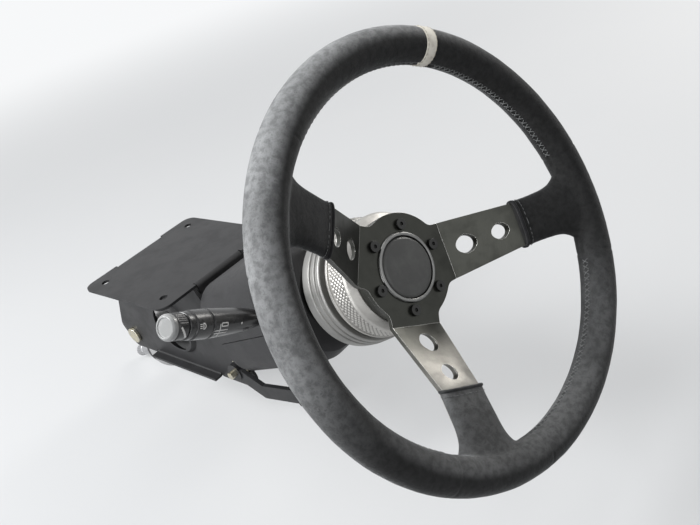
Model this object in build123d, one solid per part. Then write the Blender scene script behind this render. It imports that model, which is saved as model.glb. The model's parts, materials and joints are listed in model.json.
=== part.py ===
from build123d import *
import os
from math import atan, atan2, cos, degrees, hypot, radians, sin

os.makedirs("parts", exist_ok=True)

# The column's axis rises toward the driver, and the wheel rests part-turned
RAKE = 22.0
TURN = 30.0

# Steering wheel, measured from the plane of the rim toward the driver
RIM_R = 160.5
GRIP_R = 14.5
MARK_W = 11.0
PLATE_T = 4.0
PLATE_Z = -59.0
HUB_R = 45.0
SPOKE_ANGLES = (13.8, 166.2, 270.0)
SPOKE_KNEE_R = 100.0
SPOKE_KNEE_Z = -20.7
HOLES = ((61.6, 7.4), (86.2, 6.3))
SCREW_PCD_R = 35.0

# Quick-release and boss
COLLAR_R = 50.5
COLLAR_FRONT = -72.3
COLLAR_BACK = -101.0
DRUM_R = 55.0
DRUM_BACK = -130.0
NECK_R = 31.0
NECK_BACK = -166.0

# Column
SHAFT_R = 11.0
SHAFT_FRONT = -104.0
SHAFT_BACK = -600.0
SPLINE_R = 8.5
SEAT_BACK = -621.0
SPLINE_BACK = -640.0
TUBE_R = 25.0
TUBE_BORE = 21.5
TUBE_FRONT = -185.0
TUBE_BACK = -560.0
CLAMP_Z = -330.0
CLAMP_DROP = -37.0
PIVOT_Z = -520.0
PIVOT_RISE = 36.0
CHEEK_X = 35.7
TILT = 3.0

# Covers, switches and key barrel
COVER_FRONT = -160.0
COVER_BACK = -305.0
COVER_T = 2.5
COVER_MOUTH = 38.0
COVER_SCREWS = ((-24, -200), (24, -200), (0, -285))
SLOT = 25.0
LOCK_Z = -222.0
STALK_ROOT = (-52.0, 11.2, -178.7)
STALK_TIP = (-165.7, 71.3, -130.0)

# Bracket, in the row frame with its bolted face at the origin
MID_Z = -425.0
AXIS_DROP = 97.6
FLANGE_X = 80.0
FLANGE_Y = 76.0
FLANGE_T = 3.0
BOLT_X = 62.0
BOLT_Y = 56.0
SIDE_IN = 36.0
SIDE_T = 3.0
BEND_R = 5.0
LIP_X = 64.0
HEM_Y = 5.0
HEM_LONG = 120.0
FLARE_R = 29.0
FLARE_Z = -66.0

S, C = sin(radians(RAKE)), cos(radians(RAKE))
WHEEL_Y = MID_Z * C
WHEEL_Z = -AXIS_DROP - MID_Z * S
COLUMN = Plane(origin=(0, WHEEL_Y, WHEEL_Z), x_dir=(1, 0, 0), z_dir=(0, -C, S))


def on_column(shape):
    return COLUMN.location * shape


def on_wheel(shape):
    return COLUMN.location * Rot(0, 0, -TURN) * shape


def row_yz(y_u, z):
    """Y and Z in the row frame of a point of the column's middle plane."""
    return WHEEL_Y + y_u * S - z * C, WHEEL_Z + y_u * C + z * S


def ring(r_out, r_in, z0, z1):
    outer = Pos(0, 0, (z0 + z1) / 2) * Cylinder(r_out, abs(z1 - z0))
    return outer - Pos(0, 0, (z0 + z1) / 2) * Cylinder(r_in, abs(z1 - z0) + 2)


def turned(points):
    """A solid of revolution about the column's axis from (r, z) corners."""
    face = make_face(Polyline(*[(r, 0, z) for r, z in points], close=True))
    return revolve(face, axis=Axis.Z)


def across(x0, x1, y, z, r):
    """A cylinder along X in column coordinates."""
    return Pos((x0 + x1) / 2, y, z) * Rot(0, 90, 0) * Cylinder(r, abs(x1 - x0))


def spoke_wrap():
    sections = []
    for r, w, h, z in ((99, 20, 6, -22.0), (119, 20, 8, -14.5), (137, 23, 10, -8.0), (155, 36, 11.5, -2.5)):
        at = Plane(origin=(r, 0, z), x_dir=(0, 1, 0), z_dir=(1, 0, 0))
        sections.append(at * Ellipse(w, h))
    return loft(sections)


def rim_grip():
    body = Torus(RIM_R, GRIP_R)
    wrap = spoke_wrap()
    for a in SPOKE_ANGLES:
        body += Rot(0, 0, a) * wrap
    return body - mark_sector()


def mark_sector():
    """The band's seat at the top of the rim: a short sleeve of the grip."""
    half = degrees(MARK_W / 2 / RIM_R)
    at = Plane.XZ
    face = at * Pos(RIM_R, 0) * (Circle(GRIP_R + 2) - Circle(GRIP_R - 1.6))
    sleeve = revolve(face, axis=Axis.Z, revolution_arc=2 * half)
    return Rot(0, 0, 90 - half) * sleeve


def rim_marker():
    half = degrees(MARK_W / 2 / RIM_R)
    face = Plane.XZ * Pos(RIM_R, 0) * (Circle(GRIP_R + 0.4) - Circle(GRIP_R - 1.55))
    sleeve = revolve(face, axis=Axis.Z, revolution_arc=2 * half)
    return Rot(0, 0, 90 - half) * sleeve


def spoke_strip():
    """One sprung arm of the frame, seen from its side and drawn out in width."""
    top = [(0, PLATE_Z), (47, PLATE_Z), (SPOKE_KNEE_R, SPOKE_KNEE_Z), (156, -1.0)]
    low = [(156, -1.0 - PLATE_T), (SPOKE_KNEE_R + 1, SPOKE_KNEE_Z - PLATE_T - 0.8)]
    low += [(47.8, PLATE_Z - PLATE_T), (0, PLATE_Z - PLATE_T)]
    face = make_face(Polyline(*[(x, 0, z) for x, z in top + low], close=True))
    return extrude(face, 32, both=True)


def frame_plan():
    arm = make_face(Polyline((0, 28), (50, 24.2), (100, 18.5), (156, 18.5), (156, -18.5),
                             (100, -18.5), (50, -24.2), (0, -28), close=True))
    plan = Circle(HUB_R)
    for a in SPOKE_ANGLES:
        plan += Rot(0, 0, a) * arm
    inner = [v for v in plan.vertices() if 40 < hypot(v.X, v.Y) < 48.5]
    if inner:
        plan = fillet(inner, 9)
    for a in SPOKE_ANGLES:
        for r, hole in HOLES:
            plan -= Rot(0, 0, a) * Pos(r, 0) * Circle(hole)
    plan -= Circle(25.8)
    for k in range(6):
        plan -= Rot(0, 0, 30 + 60 * k) * Pos(SCREW_PCD_R, 0) * Circle(2.7)
    return plan


def spoke_frame():
    strip = spoke_strip()
    sheet = Pos(0, 0, PLATE_Z - PLATE_T / 2) * Cylinder(HUB_R, PLATE_T)
    for a in SPOKE_ANGLES:
        sheet += Rot(0, 0, a) * strip
    keep = extrude(Pos(0, 0, -80) * frame_plan(), 90)
    frame = sheet & keep
    for a in SPOKE_ANGLES:
        frame -= Rot(0, 0, a) * spoke_dimples()
    return frame


def spoke_dimples():
    """Countersinks of one spoke's two holes, square to its sloping face."""
    slope = degrees(atan2(SPOKE_KNEE_Z - PLATE_Z, SPOKE_KNEE_R - 47))
    cones = None
    for r, hole in HOLES:
        z = PLATE_Z + (r - 47) * (SPOKE_KNEE_Z - PLATE_Z) / (SPOKE_KNEE_R - 47)
        cone = Pos(r, 0, z) * Rot(0, -slope, 0) * Pos(0, 0, -0.25) * Cone(hole - 0.5, hole + 1.5, 2.1)
        cones = cone if cones is None else cones + cone
    return cones


def hub_screws():
    """Six socket screws round the horn button."""
    screws = []
    for k in range(6):
        screw = turned([(0, 2.9), (4.6, 2.9), (4.8, 0), (2.5, 0), (2.5, -11), (0, -11)])
        screw -= Pos(0, 0, 2.9) * extrude(RegularPolygon(1.7, 6), -1.8)
        screws.append(Rot(0, 0, 30 + 60 * k) * Pos(SCREW_PCD_R, 0, PLATE_Z) * screw)
    return Compound(children=screws)


def horn_ring():
    z = PLATE_Z
    return turned([(25.6, z), (29, z), (29, z + 1.4), (28, z + 2.4), (26.4, z + 2.4), (25.6, z + 1.6)])


def horn_button():
    z = PLATE_Z
    profile = [(0, z - 12), (25.2, z - 12), (25.2, z + 1.9)]
    dome = []
    rise, r = 2.4, 25.2
    ball = (r * r + rise * rise) / (2 * rise)
    for k in range(1, 9):
        x = r * (1 - k / 8)
        dome.append((x, z + 1.9 - (ball - rise) + (ball * ball - x * x) ** 0.5))
    return turned(profile + dome)


def release_hub():
    """The half of the quick-release that stays on the wheel."""
    z = PLATE_Z - PLATE_T
    body = turned([(26.5, z), (43.5, z), (43.5, -71.5), (30, -71.5), (30, -99.5), (0, -99.5),
                   (0, -80), (26.5, -80)])
    for k in range(6):
        body -= Rot(0, 0, 30 + 60 * k) * Pos(SCREW_PCD_R, 0, z - 5) * Cylinder(2.6, 12)
    return body


def release_collar():
    r = COLLAR_R
    return turned([(30.4, COLLAR_FRONT), (44.0, COLLAR_FRONT), (r - 1.2, COLLAR_FRONT - 4.2), (r, COLLAR_FRONT - 6),
                   (r, -96), (r - 1.2, -96.6), (r - 1.2, -97.6), (r + 0.6, -98.2), (r + 0.6, COLLAR_BACK + 0.6),
                   (r, COLLAR_BACK), (30.4, COLLAR_BACK)])


def boss():
    """The stepped drum behind the quick-release, its waist and its neck."""
    r = DRUM_R
    front = COLLAR_BACK - 0.4
    body = turned([(SHAFT_R + 0.05, front), (46, front), (46, -106.5), (r - 2.2, -106.5), (r - 1.4, -107.3),
                   (r - 1.4, -110.5), (r - 2.4, -111.0), (r - 2.4, -112.2), (r - 0.8, -112.8), (r - 0.8, -117),
                   (r - 1.8, -117.5), (r - 1.8, -118.6), (r, -119.2), (r, DRUM_BACK + 1.2),
                   (r - 1.2, DRUM_BACK), (47, DRUM_BACK), (NECK_R + 3, -146), (NECK_R, -150),
                   (NECK_R, NECK_BACK), (SHAFT_R + 0.05, NECK_BACK)])
    return body


def steering_shaft():
    """The shaft, with a ground seat and a serrated tip for the lower yoke."""
    r, tip = SPLINE_R, SPLINE_BACK
    body = turned([(0, SHAFT_FRONT), (SHAFT_R - 1, SHAFT_FRONT), (SHAFT_R, SHAFT_FRONT - 1),
                   (SHAFT_R, SHAFT_BACK + 2.5), (r, SHAFT_BACK), (r, SEAT_BACK), (r - 0.9, SEAT_BACK),
                   (r - 0.9, SEAT_BACK - 2), (r - 0.3, SEAT_BACK - 2.6), (r - 0.3, tip + 1),
                   (r - 1.3, tip), (0, tip)])
    groove = Pos(r - 0.2, 0, (SEAT_BACK - 2.6 + tip) / 2 - 1) * Box(1.5, 1.0, SEAT_BACK - 2 - tip)
    for k in range(15):
        body -= Rot(0, 0, 24 * k) * groove
    return body


def column_tube():
    return ring(TUBE_R, TUBE_BORE, TUBE_BACK, TUBE_FRONT)


def bearing(z0, z1):
    return ring(TUBE_BORE - 0.05, SHAFT_R + 0.05, z0, z1)


def clamp_block():
    """The cast saddle on the tube: two cheeks and a channel that the clamp bolt crosses."""
    body = Pos(0, 0, CLAMP_Z) * Cylinder(32, 38)
    cheeks = Pos(0, -27, CLAMP_Z) * Box(62, 42, 30)
    body += fillet(cheeks.edges().filter_by(Axis.Z).group_by(Axis.Y)[0], 8)
    body += across(-CHEEK_X, CHEEK_X, CLAMP_DROP, CLAMP_Z, 12.5)
    body -= Pos(0, -43, CLAMP_Z) * Box(36, 22, 60)
    body -= Pos(0, 0, CLAMP_Z) * Cylinder(TUBE_R + 0.05, 60)
    body -= across(-50, 50, CLAMP_DROP, CLAMP_Z, 4.05)
    return body


def pivot_block():
    """The cast ring on the tube's lower end, with a tapered web up to the pivot pin."""
    body = Pos(0, 0, PIVOT_Z) * Cylinder(32, 32)
    web = make_face(Polyline((-31, 2), (31, 2), (25, PIVOT_RISE), (-25, PIVOT_RISE), close=True))
    body += Pos(0, 0, PIVOT_Z - 11) * extrude(web, 22)
    body += across(-CHEEK_X, CHEEK_X, PIVOT_RISE, PIVOT_Z, 13)
    body -= Pos(0, 0, PIVOT_Z) * Cylinder(TUBE_R + 0.05, 60)
    body -= across(-50, 50, PIVOT_RISE, PIVOT_Z, 6.06)
    return body


def clamp_bolt():
    body = across(-56, 44, CLAMP_DROP, CLAMP_Z, 4)
    body += across(39.3, 41.8, CLAMP_DROP, CLAMP_Z, 11)
    body += across(-41.8, -39.3, CLAMP_DROP, CLAMP_Z, 11)
    body += Pos(41.8, CLAMP_DROP, CLAMP_Z) * Rot(0, 90, 0) * extrude(RegularPolygon(7.2, 6), 7)
    return body


def tilt_lever():
    """The clamp's lever, bent down to pass below the covers."""
    x = -46.0
    path = [(-330, -37), (-302, -66), (-225, -82)]
    body = across(x - 4, x + 4, CLAMP_DROP, CLAMP_Z, 10)
    for (z0, y0), (z1, y1) in zip(path, path[1:]):
        length = hypot(z1 - z0, y1 - y0)
        a = degrees(atan2(y1 - y0, z1 - z0))
        bar = Box(5, 16, length) + Pos(0, 0, length / 2) * Rot(0, 90, 0) * Cylinder(8, 5)
        body += Pos(x, (y0 + y1) / 2, (z0 + z1) / 2) * Rot(-a, 0, 0) * bar
    return body - across(x - 6, x + 6, CLAMP_DROP, CLAMP_Z, 4.05)


def lever_grip():
    a = degrees(atan2(-16, 77))
    grip = Box(11, 24, 48)
    grip = fillet(grip.edges().filter_by(Axis.Z), 5)
    grip = fillet(grip.edges().group_by(Axis.Z)[-1], 3)
    body = Pos(-46, -81.5, -222) * Rot(-a, 0, 0) * grip
    return body - tilt_lever()


def cover_section(width, height, corner, y, z):
    return Pos(0, y, z) * RectangleRounded(width, height, corner)


def cover_body(grow, z0, z1):
    """The covers' closed form, made smaller all round by a negative grow."""
    sizes = ((92, 84, 34, 3.0, z0), (110, 99, 35, 3.7, z0 - 4), (121, 109.5, 35.5, 4.4, z0 - 13),
             (125, 113, 35, 5.0, -190), (110, 104, 30, 4.0, z1))
    sections = []
    for width, height, corner, y, z in sizes:
        sections.append(cover_section(width + 2 * grow, height + 2 * grow, corner + grow, y, z))
    return loft(sections, ruled=True)


def cover_shell():
    shell = cover_body(0, COVER_FRONT, COVER_BACK) - cover_body(-COVER_T, COVER_FRONT - COVER_T, COVER_BACK - 1)
    shell -= Pos(0, 0, COVER_FRONT) * Cylinder(COVER_MOUTH, 20)
    shell -= Pos(-60, 15, -178) * Box(40, SLOT, SLOT)
    shell -= across(30, 90, -6, LOCK_Z, 19)
    for x, z in COVER_SCREWS:
        shell -= Pos(x, -50, z) * Rot(90, 0, 0) * Cylinder(2.3, 30)
    return shell


def cover_screws():
    """Pan-head screws under the lower cover."""
    screws = []
    for x, z in COVER_SCREWS:
        y = -51.9 if z > -230 else -49.6
        profile = [(0, 0), (2.1, 0), (2.1, 10), (4.4, 10), (4.2, 12.3), (0, 12.3)]
        screw = turned(profile)
        screw -= Pos(0, 0, 12) * Box(10, 1.1, 1.8)
        screws.append(Pos(x, y + 10, z) * Rot(90, 0, 0) * screw)
    return Compound(children=screws)


def stalk_gaiter():
    """The soft frame that closes the slot round the stalk."""
    body = Pos(-60.5, 15, -178) * Box(6, SLOT - 0.2, SLOT - 0.2)
    body = fillet(body.edges().filter_by(Axis.X), 3)
    start, end = Vector(*STALK_ROOT), Vector(*STALK_TIP)
    hole = Plane(origin=start, z_dir=end - start).location * Pos(0, 0, 10) * Cylinder(6.3, 60)
    return body - hole


def cover_upper():
    return cover_shell() & (Pos(0, 50.15, -230) * Box(200, 99.7, 200))


def cover_lower():
    return cover_shell() & (Pos(0, -50.15, -230) * Box(200, 99.7, 200))


def switch_housing():
    body = turned([(TUBE_R + 0.05, -206), (38, -206), (38, -172), (34, -168), (17, -168), (17, -180), (TUBE_R + 0.05, -184.5)])
    arm = Pos(-45, 13, -178) * Box(24, 20, 20)
    arm -= Pos(0, 0, -190) * Cylinder(37, 60)
    return body + arm


def stalk(a, b, sizes):
    """A round lever from point a toward b; sizes are (share of length, radius)."""
    start, end = Vector(*a), Vector(*b)
    length = (end - start).length
    at = Plane(origin=start, z_dir=end - start)
    profile = [(0, 0)] + [(r, t * length) for t, r in sizes] + [(0, sizes[-1][0] * length)]
    face = make_face(Polyline(*[(r, 0, z) for r, z in profile], close=True))
    return at.location * revolve(face, axis=Axis.Z)


def stalk_left():
    sizes = ((0.0, 6.0), (0.2, 6.0), (0.38, 9.5), (0.82, 10.5), (0.825, 9.0), (0.85, 9.0), (0.855, 10.5), (0.875, 10.5))
    return stalk(STALK_ROOT, STALK_TIP, sizes)


def stalk_knob():
    sizes = ((0.88, 10.6), (0.97, 10.2), (0.995, 8.6), (1.0, 6.5))
    start, end = Vector(*STALK_ROOT), Vector(*STALK_TIP)
    length = (end - start).length
    at = Plane(origin=start, z_dir=end - start)
    pts = [(0, 0.88 * length)] + [(r, t * length) for t, r in sizes] + [(0, length)]
    face = make_face(Polyline(*[(r, 0, z) for r, z in pts], close=True))
    return at.location * revolve(face, axis=Axis.Z)


def lock_housing():
    """The cast clamp on the tube that holds the key barrel."""
    body = Pos(0, 0, LOCK_Z - 1) * Cylinder(33, 31)
    body += across(20, 37.8, -6, LOCK_Z, 15)
    body += Pos(0, 32, LOCK_Z - 1) * Box(26, 14, 24)
    return body - Pos(0, 0, LOCK_Z) * Cylinder(TUBE_R + 0.05, 60)


def ignition_lock():
    """The key barrel that stands out of the covers on the column's right."""
    body = across(38, 73, -6, LOCK_Z, 15)
    bezel = across(72, 77, -6, LOCK_Z, 17.5)
    bezel = chamfer(bezel.edges().filter_by(GeomType.CIRCLE).group_by(Axis.X)[-1], 1.5)
    body += bezel
    body -= across(75.8, 80, -6, LOCK_Z, 11)
    body += across(74, 76.6, -6, LOCK_Z, 9)
    return body - Pos(77, -6, LOCK_Z) * Box(6, 10, 2.2)


def fold(length, leg):
    """A right-angle bend in sheet metal and its leg, drawn along X: level sheet in, leg down, back at (0, 0)."""
    at = Plane(origin=(-length / 2, 0, 0), x_dir=(0, 1, 0), z_dir=(1, 0, 0))
    bend = Circle(BEND_R) - Circle(BEND_R - FLANGE_T)
    bend = bend & (Pos(BEND_R / 2, BEND_R / 2) * Rectangle(BEND_R, BEND_R))
    bend += Pos(BEND_R - FLANGE_T / 2, -leg / 2) * Rectangle(FLANGE_T, leg)
    return Pos(0, -BEND_R, -BEND_R) * extrude(at * bend, length)


def bracket_top():
    plate = Pos(0, 0, -FLANGE_T / 2) * Box(2 * FLANGE_X, 2 * FLANGE_Y, FLANGE_T)
    plate = fillet(plate.edges().filter_by(Axis.Z), 12)
    for x in (-BOLT_X, BOLT_X):
        for y in (-BOLT_Y, BOLT_Y):
            plate -= Pos(x, y, 0) * Cylinder(4.5, 20)
    for turn in (0, 180):
        plate -= Rot(0, 0, turn) * Pos(0, FLANGE_Y, 0) * Box(LIP_X + 3, 2 * BEND_R, 20)
        plate += Rot(0, 0, turn) * Pos(0, FLANGE_Y, 0) * fold(LIP_X, 7)
    return plate


def bracket_side(side):
    """A cheek: folded out along its lower edge, with a flared hole through its middle."""
    pivot = row_yz(PIVOT_RISE, PIVOT_Z)
    clamp = row_yz(CLAMP_DROP, CLAMP_Z)
    front, back = (113, -118), (-98, -123)
    corners = [(-76, -FLANGE_T), (76, -FLANGE_T), (124, -88), front, back, (-122, -111)]
    outline = make_face(Polyline(*corners, close=True))
    outline = fillet([v for v in outline.vertices() if v.Y < -50], 10)
    outline -= Pos(0, FLARE_Z) * Circle(FLARE_R + 6.5)
    outline -= Pos(*pivot) * Circle(6.05)
    outline -= Pos(78, -30) * Circle(4.05)
    radius = hypot(clamp[0] - pivot[0], clamp[1] - pivot[1])
    middle = degrees(atan2(clamp[1] - pivot[1], clamp[0] - pivot[0]))
    slot = CenterArc(pivot, radius, middle - TILT - 0.3, 2 * TILT + 0.6)
    outline -= SlotArc(slot, 8.8)
    at = Plane(origin=(SIDE_IN, 0, 0), x_dir=(0, 1, 0), z_dir=(1, 0, 0))
    cheek = extrude(at * outline, SIDE_T)
    slope = (front[1] - back[1]) / (front[0] - back[0])
    low = (SIDE_IN, HEM_Y, back[1] + (HEM_Y - back[0]) * slope)
    cheek -= Pos(*low) * Rot(degrees(atan(slope)), 0, 0) * Box(20, HEM_LONG + 3, 2 * BEND_R)
    cheek += Plane(origin=low, x_dir=(0, 1, slope), z_dir=(-1, 0, 0)).location * fold(HEM_LONG, 8)
    rim, out = FLARE_R + 6.5, SIDE_IN + SIDE_T
    flare = turned([(rim, SIDE_IN), (rim, out), (FLARE_R + 2.6, out + 4), (FLARE_R, out + 4)])
    cheek += Pos(0, 0, FLARE_Z) * Rot(0, 90, 0) * flare
    return cheek if side > 0 else mirror(cheek, Plane.YZ)


def bracket_spacer():
    """The tube and rivet that hold the side plates apart at the front."""
    seat, face = SIDE_IN, SIDE_IN + SIDE_T
    body = turned([(0, -face - 2.4), (6.4, -face - 2.4), (7, -face), (4, -face), (4, -seat), (7, -seat),
                   (7, seat), (4, seat), (4, face), (7, face), (6.4, face + 2.4), (0, face + 2.4)])
    return Pos(0, 78, -30) * Rot(0, 90, 0) * body


def pivot_pin():
    body = across(-39, 39, PIVOT_RISE, PIVOT_Z, 6)
    for side in (-1, 1):
        body += across(side * 39, side * 43, PIVOT_RISE, PIVOT_Z, 10)
    return body


def save(name, shape):
    shape.label = name
    export_step(shape, "parts/" + name + ".step")
    print(name, round(shape.volume / 1000, 1), "cm3")


save("rim_grip", on_wheel(rim_grip()))
save("rim_marker", on_wheel(rim_marker()))
save("spoke_frame", on_wheel(spoke_frame()))
save("hub_screws", on_wheel(hub_screws()))
save("horn_ring", on_wheel(horn_ring()))
save("horn_button", on_wheel(horn_button()))
save("release_hub", on_wheel(release_hub()))
save("release_collar", on_wheel(release_collar()))
save("boss", on_wheel(boss()))
save("steering_shaft", on_wheel(steering_shaft()))
save("column_tube", on_column(column_tube()))
save("upper_bearing", on_column(bearing(-202, -190)))
save("lower_bearing", on_column(bearing(-556, -544)))
save("clamp_block", on_column(clamp_block()))
save("pivot_block", on_column(pivot_block()))
save("clamp_bolt", on_column(clamp_bolt()))
save("tilt_lever", on_column(tilt_lever()))
save("lever_grip", on_column(lever_grip()))
save("cover_upper", on_column(cover_upper()))
save("cover_lower", on_column(cover_lower()))
save("switch_housing", on_column(switch_housing()))
save("stalk_left", on_column(stalk_left()))
save("stalk_knob", on_column(stalk_knob()))
save("stalk_gaiter", on_column(stalk_gaiter()))
save("cover_screws", on_column(cover_screws()))
save("lock_housing", on_column(lock_housing()))
save("ignition_lock", on_column(ignition_lock()))
save("bracket_top", bracket_top())
save("bracket_side_left", bracket_side(-1))
save("bracket_side_right", bracket_side(1))
save("pivot_pin", on_column(pivot_pin()))
save("bracket_spacer", bracket_spacer())
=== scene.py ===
import json
import math
import random

import bmesh
import bpy
from mathutils import Matrix, Vector, noise


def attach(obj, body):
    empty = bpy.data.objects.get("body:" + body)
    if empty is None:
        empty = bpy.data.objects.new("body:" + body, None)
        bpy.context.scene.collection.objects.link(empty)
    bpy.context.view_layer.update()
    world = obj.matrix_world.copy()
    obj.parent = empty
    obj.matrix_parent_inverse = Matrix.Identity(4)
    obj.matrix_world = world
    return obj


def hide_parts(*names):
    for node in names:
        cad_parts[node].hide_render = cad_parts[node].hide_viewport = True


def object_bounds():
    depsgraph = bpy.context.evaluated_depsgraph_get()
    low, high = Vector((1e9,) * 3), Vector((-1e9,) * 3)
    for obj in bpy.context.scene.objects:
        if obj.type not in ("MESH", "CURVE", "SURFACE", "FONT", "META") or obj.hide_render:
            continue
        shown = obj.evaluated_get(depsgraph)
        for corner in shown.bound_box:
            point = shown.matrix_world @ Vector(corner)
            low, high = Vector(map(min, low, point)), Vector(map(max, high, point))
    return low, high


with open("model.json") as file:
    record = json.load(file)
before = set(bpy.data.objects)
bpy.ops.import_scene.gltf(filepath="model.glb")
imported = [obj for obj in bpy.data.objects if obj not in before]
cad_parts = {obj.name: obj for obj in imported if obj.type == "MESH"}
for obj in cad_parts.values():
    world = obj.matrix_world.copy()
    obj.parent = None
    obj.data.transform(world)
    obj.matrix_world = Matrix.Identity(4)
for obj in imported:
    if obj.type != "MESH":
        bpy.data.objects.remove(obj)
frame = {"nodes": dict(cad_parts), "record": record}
cad_lo, cad_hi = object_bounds()
NODES = frame["nodes"]
random.seed(7)

# Places repeated from the source, in millimetres and degrees
RAKE, TURN = math.radians(22.0), math.radians(30.0)
S, C = math.sin(RAKE), math.cos(RAKE)
MID_Z, AXIS_DROP = -425.0, 97.6
WHEEL = Vector((0.0, MID_Z * C, -AXIS_DROP - MID_Z * S)) / 1000
COLUMN_TO_ROW = Matrix(((1, 0, 0), (0, S, -C), (0, C, S)))
WHEEL_TO_ROW = COLUMN_TO_ROW @ Matrix.Rotation(-TURN, 3, "Z")
RIM_R, GRIP_R = 160.5, 14.5
SPOKES = (13.8, 166.2, 270.0)
MARKER, MARKER_WIDE = 90.0, 11.0
COLLAR_R, COLLAR_FRONT, COLLAR_BACK = 50.5, -72.3, -101.0
DRUM_R, DRUM_BACK, NECK_R, NECK_BACK = 55.0, -130.0, 31.0, -166.0
STALK_ROOT, STALK_TIP = Vector((-52.0, 11.2, -178.7)), Vector((-165.7, 71.3, -130.0))

# The scene's own detail in the same units: the angles round the wheel where the suede turns grey, partly
# wear from hands and laps and partly painted light, the collar's knurl and half the marker band in degrees
HELD_AND_LIT, LAP_AND_LIT = 145.0, 290.0
KNURLS, KNURL_PITCH, KNURL_FRONT, KNURL_BACK = 72, 4.4, -79.0, -95.6
MARKER_HALF = math.degrees(MARKER_WIDE / 2 / RIM_R)


def col(x, y, z):
    """A point of the column (right, up, toward the driver; mm) in the row frame."""
    return COLUMN_TO_ROW @ Vector((x, y, z)) / 1000 + WHEEL


def whl(x, y, z):
    """The same for a point that turns with the wheel."""
    return WHEEL_TO_ROW @ Vector((x, y, z)) / 1000 + WHEEL


# Materials
class Mat:
    """A node material with short ways to add and join its nodes."""

    def __init__(self, name):
        self.mat = bpy.data.materials.new(name)
        self.mat.use_nodes = True
        self.nt = self.mat.node_tree
        self.bsdf = self.nt.nodes["Principled BSDF"]

    def add(self, kind, **inputs):
        """A shader node with its sockets, or else its settings, filled by name."""
        n = self.nt.nodes.new("ShaderNode" + kind)
        for key, value in inputs.items():
            key = key.replace("_", " ")
            if key in n.inputs:
                self.put(n.inputs[key], value)
            else:
                setattr(n, key.replace(" ", "_"), value)
        return n

    def put(self, socket, value):
        if isinstance(value, bpy.types.NodeSocket):
            self.nt.links.new(value, socket)
        else:
            socket.default_value = value

    def coords(self, place=None):
        """Object coordinates, or with place "wheel" or "column" those of that frame in millimetres."""
        obj = self.add("TexCoord").outputs["Object"]
        if place is None:
            return obj
        turn = (WHEEL_TO_ROW if place == "wheel" else COLUMN_TO_ROW).transposed()
        n = self.add("Mapping", Vector=obj, Location=-(turn @ WHEEL) * 1000, Rotation=turn.to_euler("XYZ"),
                     Scale=(1000, 1000, 1000))
        return n.outputs["Vector"]

    def axes(self, vec):
        """A vector's three numbers."""
        n = self.add("SeparateXYZ", Vector=vec)
        return [n.outputs[k] for k in "XYZ"]

    def stretched(self, vec, scale):
        """Coordinates with each axis multiplied by its own number."""
        return self.add("Mapping", Vector=vec, Scale=scale).outputs["Vector"]

    def length(self, vec):
        n = self.add("VectorMath", operation="LENGTH")
        self.put(n.inputs[0], vec)
        return n.outputs["Value"]

    def noise(self, vec, scale, detail=4.0, rough=0.55, distortion=0.0):
        """Layered noise from 0 to 1 with about scale spots in one unit of vec."""
        n = self.add("TexNoise", Vector=vec, Scale=scale, Detail=detail, Roughness=rough,
                     Distortion=distortion)
        return n.outputs["Fac"]

    def ramp(self, fac, lo, hi, a=0.0, b=1.0):
        """fac from lo..hi to a..b, clamped and eased."""
        n = self.nt.nodes.new("ShaderNodeMapRange")
        n.interpolation_type = "SMOOTHSTEP"
        self.nt.links.new(fac, n.inputs["Value"])
        for key, value in (("From Min", lo), ("From Max", hi), ("To Min", a), ("To Max", b)):
            n.inputs[key].default_value = value
        return n.outputs["Result"]

    def math(self, op, a, b=0.0):
        n = self.nt.nodes.new("ShaderNodeMath")
        n.operation = op
        self.put(n.inputs[0], a)
        self.put(n.inputs[1], b)
        return n.outputs[0]

    def mix(self, fac, a, b):
        n = self.nt.nodes.new("ShaderNodeMix")
        n.data_type = "RGBA"
        for key, value in (("Factor_Float", fac), ("A_Color", a), ("B_Color", b)):
            socket = next(s for s in n.inputs if s.identifier == key)
            if isinstance(value, tuple):
                value = (*value[:3], 1.0)
            self.put(socket, value)
        return next(s for s in n.outputs if s.identifier == "Result_Color")

    def bump(self, height, strength, distance, normal=None):
        """A normal roughened by height, whose full size is distance in metres, on top of another normal."""
        n = self.add("Bump", Height=height, Strength=strength, Distance=distance)
        if normal is not None:
            self.nt.links.new(normal, n.inputs["Normal"])
        return n.outputs["Normal"]

    def set(self, **inputs):
        """Fills the main shader's sockets and returns the material."""
        for key, value in inputs.items():
            key = key.replace("_", " ")
            if isinstance(value, tuple) and key == "Base Color":
                value = (*value[:3], 1.0)
            self.put(self.bsdf.inputs[key], value)
        return self.mat


def shade(colour, times, more=0.0):
    """A colour made darker or lighter, no lighter than white."""
    return tuple(min(1.0, c * times + more) for c in colour)


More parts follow.
